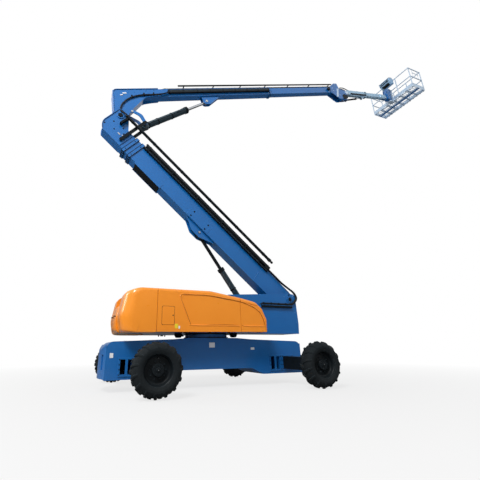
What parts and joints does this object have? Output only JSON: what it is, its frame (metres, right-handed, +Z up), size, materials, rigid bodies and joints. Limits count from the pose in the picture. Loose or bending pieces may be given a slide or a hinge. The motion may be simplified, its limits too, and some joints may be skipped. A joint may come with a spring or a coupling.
{
  "type": "articulating boom lift",
  "caption": "Self-propelled articulating boom lift with a telescoping lower boom, telescoping upper boom, jib, work platform and four steered wheels on extending axles.",
  "frame": {"origin": "on the ground under the four tyres, on the slew axis, which is the centre of the chassis", "axes": "+X is the direction in which the upper boom reaches, +Z is up, -Y is the side of the cover nearest in the picture"},
  "size_m": [15.9278, 4.561, 15.1992],
  "materials": {
    "boom_blue": "gloss royal blue enamel with fine orange peel",
    "cover_yellow": "semi-gloss amber yellow paint on moulded covers",
    "black_paint": "satin black enamel",
    "tyre": "matt black rubber, moulded",
    "hose_black": "satin black rubber and plastic",
    "chrome": "polished hard chrome",
    "galvanised": "pale satin aluminium and zinc",
    "cast_iron": "rough grey casting",
    "console_grey": "matt pale grey moulding"
  },
  "bodies": {
    "chassis": {"chassis_frame": "boom_blue", "chassis_end_front": "boom_blue", "chassis_end_rear": "boom_blue"},
    "axle_front_near": {"axle_beam_front_near": "black_paint"},
    "steer_front_near": {"steering_knuckle_front_near": "black_paint"},
    "wheel_front_near": {"tyre_front_near": "tyre", "wheel_rim_front_near": "black_paint"},
    "axle_front_far": {"axle_beam_front_far": "black_paint"},
    "steer_front_far": {"steering_knuckle_front_far": "black_paint"},
    "wheel_front_far": {"tyre_front_far": "tyre", "wheel_rim_front_far": "black_paint"},
    "axle_rear_near": {"axle_beam_rear_near": "black_paint"},
    "steer_rear_near": {"steering_knuckle_rear_near": "black_paint"},
    "wheel_rear_near": {"tyre_rear_near": "tyre", "wheel_rim_rear_near": "black_paint"},
    "axle_rear_far": {"axle_beam_rear_far": "black_paint"},
    "steer_rear_far": {"steering_knuckle_rear_far": "black_paint"},
    "wheel_rear_far": {"tyre_rear_far": "tyre", "wheel_rim_rear_far": "black_paint"},
    "turntable": {"slew_ring": "black_paint", "turntable_frame": "boom_blue", "counterweight": "boom_blue", "engine": "cast_iron", "cover_near_rear": "cover_yellow", "cover_near_front": "cover_yellow", "cover_far_rear": "cover_yellow", "cover_far_front": "cover_yellow"},
    "hood_near": {"cover_near_middle": "cover_yellow"},
    "hood_far": {"cover_far_middle": "cover_yellow"},
    "lower_boom": {"lower_boom_outer": "boom_blue", "lower_cable_track": "hose_black"},
    "lower_extension": {"lower_boom_inner": "boom_blue", "lower_hose_pipe": "black_paint"},
    "lift_barrel": {"lift_cylinder_barrel": "black_paint"},
    "lift_rod": {"lift_cylinder_rod": "black_paint"},
    "upper_boom": {"upper_boom_outer": "boom_blue", "upper_cable_tray": "hose_black"},
    "upper_extension": {"upper_boom_inner": "boom_blue", "upper_hose_pipe": "black_paint"},
    "upper_rod": {"upper_cylinder_rod": "chrome"},
    "upper_barrel": {"upper_cylinder_barrel": "black_paint"},
    "link": {"upper_link": "black_paint"},
    "arm": {"upper_arm": "boom_blue"},
    "jib": {"jib_outer": "galvanised"},
    "jib_extension": {"jib_inner": "galvanised"},
    "jib_barrel": {"jib_cylinder_barrel": "black_paint"},
    "jib_rod": {"jib_cylinder_rod": "chrome"},
    "platform_level": {"platform_support": "boom_blue"},
    "platform": {"platform_floor": "galvanised", "platform_rails": "galvanised", "platform_console": "console_grey"}
  },
  "joints": [
    {"name": "axle_slide_front_near", "type": "slide", "parent": "chassis", "child": "axle_front_near", "axis": [0, -1, 0], "range_m": [-0.75, 0]},
    {"name": "steering_front_near", "type": "hinge", "parent": "axle_front_near", "child": "steer_front_near", "pos_m": [2.3815, -1.7255, 0.575], "axis": [0, 0, 1], "range_deg": [-35, 35]},
    {"name": "wheel_spin_front_near", "type": "hinge", "parent": "steer_front_near", "child": "wheel_front_near", "pos_m": [2.3815, -2.0705, 0.575], "axis": [0, 1, 0], "continuous": true},
    {"name": "axle_slide_front_far", "type": "slide", "parent": "chassis", "child": "axle_front_far", "axis": [0, 1, 0], "range_m": [-0.75, 0]},
    {"name": "steering_front_far", "type": "hinge", "parent": "axle_front_far", "child": "steer_front_far", "pos_m": [1.9615, 1.7255, 0.575], "axis": [0, 0, 1], "range_deg": [-35, 35]},
    {"name": "wheel_spin_front_far", "type": "hinge", "parent": "steer_front_far", "child": "wheel_front_far", "pos_m": [1.9615, 2.0705, 0.575], "axis": [0, 1, 0], "continuous": true},
    {"name": "axle_slide_rear_near", "type": "slide", "parent": "chassis", "child": "axle_rear_near", "axis": [0, -1, 0], "range_m": [-0.75, 0]},
    {"name": "steering_rear_near", "type": "hinge", "parent": "axle_rear_near", "child": "steer_rear_near", "pos_m": [-1.9615, -1.7255, 0.575], "axis": [0, 0, 1], "range_deg": [-35, 35]},
    {"name": "wheel_spin_rear_near", "type": "hinge", "parent": "steer_rear_near", "child": "wheel_rear_near", "pos_m": [-1.9615, -2.0705, 0.575], "axis": [0, 1, 0], "continuous": true},
    {"name": "axle_slide_rear_far", "type": "slide", "parent": "chassis", "child": "axle_rear_far", "axis": [0, 1, 0], "range_m": [-0.75, 0]},
    {"name": "steering_rear_far", "type": "hinge", "parent": "axle_rear_far", "child": "steer_rear_far", "pos_m": [-2.3815, 1.7255, 0.575], "axis": [0, 0, 1], "range_deg": [-35, 35]},
    {"name": "wheel_spin_rear_far", "type": "hinge", "parent": "steer_rear_far", "child": "wheel_rear_far", "pos_m": [-2.3815, 2.0705, 0.575], "axis": [0, 1, 0], "continuous": true},
    {"name": "slew", "type": "hinge", "parent": "chassis", "child": "turntable", "pos_m": [0, 0, 1.36], "axis": [0, 0, 1], "continuous": true},
    {"name": "hood_near_lift", "type": "hinge", "parent": "turntable", "child": "hood_near", "pos_m": [0, -0.47, 2.455], "axis": [-1, 0, 0], "range_deg": [0, 60]},
    {"name": "hood_far_lift", "type": "hinge", "parent": "turntable", "child": "hood_far", "pos_m": [0, 0.47, 2.455], "axis": [1, 0, 0], "range_deg": [0, 60]},
    {"name": "lower_lift", "type": "hinge", "parent": "turntable", "child": "lower_boom", "pos_m": [2.8, 0, 2.48], "axis": [0, 1, 0], "range_deg": [-41.1, 27]},
    {"name": "lower_telescope", "type": "slide", "parent": "lower_boom", "child": "lower_extension", "axis": [-0.7536, 0, 0.6574], "range_m": [0, 3.5]},
    {"name": "lift_cylinder_swing", "type": "hinge", "parent": "lower_boom", "child": "lift_rod", "pos_m": [-0.25482, 0, 4.561], "axis": [0, 1, 0], "range_deg": [-4.61, 3.2]},
    {"name": "lift_cylinder_stroke", "type": "slide", "parent": "lift_rod", "child": "lift_barrel", "axis": [0.569, 0, -0.8224], "range_m": [-0.9088, 0.5988]},
    {"name": "upper_lift", "type": "hinge", "parent": "lower_extension", "child": "upper_boom", "pos_m": [-3.09767, 0, 8.31492], "axis": [0, -1, 0], "range_deg": [-61, 46]},
    {"name": "upper_telescope", "type": "slide", "parent": "upper_boom", "child": "upper_extension", "axis": [0.9379, 0, 0.3469], "range_m": [-2.6, 2.8]},
    {"name": "link_swing", "type": "hinge", "parent": "lower_extension", "child": "link", "pos_m": [-3.01057, 0, 7.38035], "axis": [0, -1, 0], "range_deg": [-19.71, 14.99]},
    {"name": "arm_swing", "type": "hinge", "parent": "upper_boom", "child": "arm", "pos_m": [-2.72767, 0, 8.62492], "axis": [0, -1, 0], "range_deg": [-57.56, 76.16]},
    {"name": "upper_cylinder_swing", "type": "hinge", "parent": "upper_boom", "child": "upper_rod", "pos_m": [0.08445, 0, 10.08911], "axis": [0, -1, 0], "range_deg": [-8.69, 6.67]},
    {"name": "upper_cylinder_stroke", "type": "slide", "parent": "upper_rod", "child": "upper_barrel", "axis": [-0.7886, 0, -0.6149], "range_m": [-0.451, 0.3413]},
    {"name": "jib_lift", "type": "hinge", "parent": "upper_extension", "child": "jib", "pos_m": [7.77938, 0, 13.12427], "axis": [0, -1, 0], "range_deg": [-60, 55]},
    {"name": "jib_telescope", "type": "slide", "parent": "jib", "child": "jib_extension", "axis": [0.9699, 0, 0.2436], "range_m": [-0.75, 0.25]},
    {"name": "jib_cylinder_swing", "type": "hinge", "parent": "jib", "child": "jib_rod", "pos_m": [8.92884, 0, 13.26865], "axis": [0, -1, 0], "range_deg": [-6.55, 7.1]},
    {"name": "jib_cylinder_stroke", "type": "slide", "parent": "jib_rod", "child": "jib_barrel", "axis": [-0.9128, 0, -0.4084], "range_m": [-0.3506, 0.3218]},
    {"name": "platform_levelling", "type": "hinge", "parent": "jib_extension", "child": "platform_level", "pos_m": [10.72779, 0, 13.86486], "axis": [0, 1, 0], "range_deg": [-80, 80]},
    {"name": "platform_rotation", "type": "hinge", "parent": "platform_level", "child": "platform", "pos_m": [11.16499, 0, 13.98996], "axis": [0, 0, 1], "range_deg": [-90, 90]}
  ],
  "couplings": [
    {"joint": "lift_cylinder_swing", "follows": "lower_lift", "ratio": 0.1},
    {"joint": "lift_cylinder_stroke", "follows": "lower_lift", "m_per_rad": 1.26},
    {"joint": "link_swing", "follows": "upper_lift", "ratio": 0.3149},
    {"joint": "arm_swing", "follows": "upper_lift", "ratio": -1.2404},
    {"joint": "upper_cylinder_swing", "follows": "upper_lift", "ratio": 0.1342},
    {"joint": "upper_cylinder_stroke", "follows": "upper_lift", "m_per_rad": 0.4189},
    {"joint": "jib_cylinder_swing", "follows": "jib_lift", "ratio": -0.11},
    {"joint": "jib_cylinder_stroke", "follows": "jib_lift", "m_per_rad": 0.33}
  ]
}
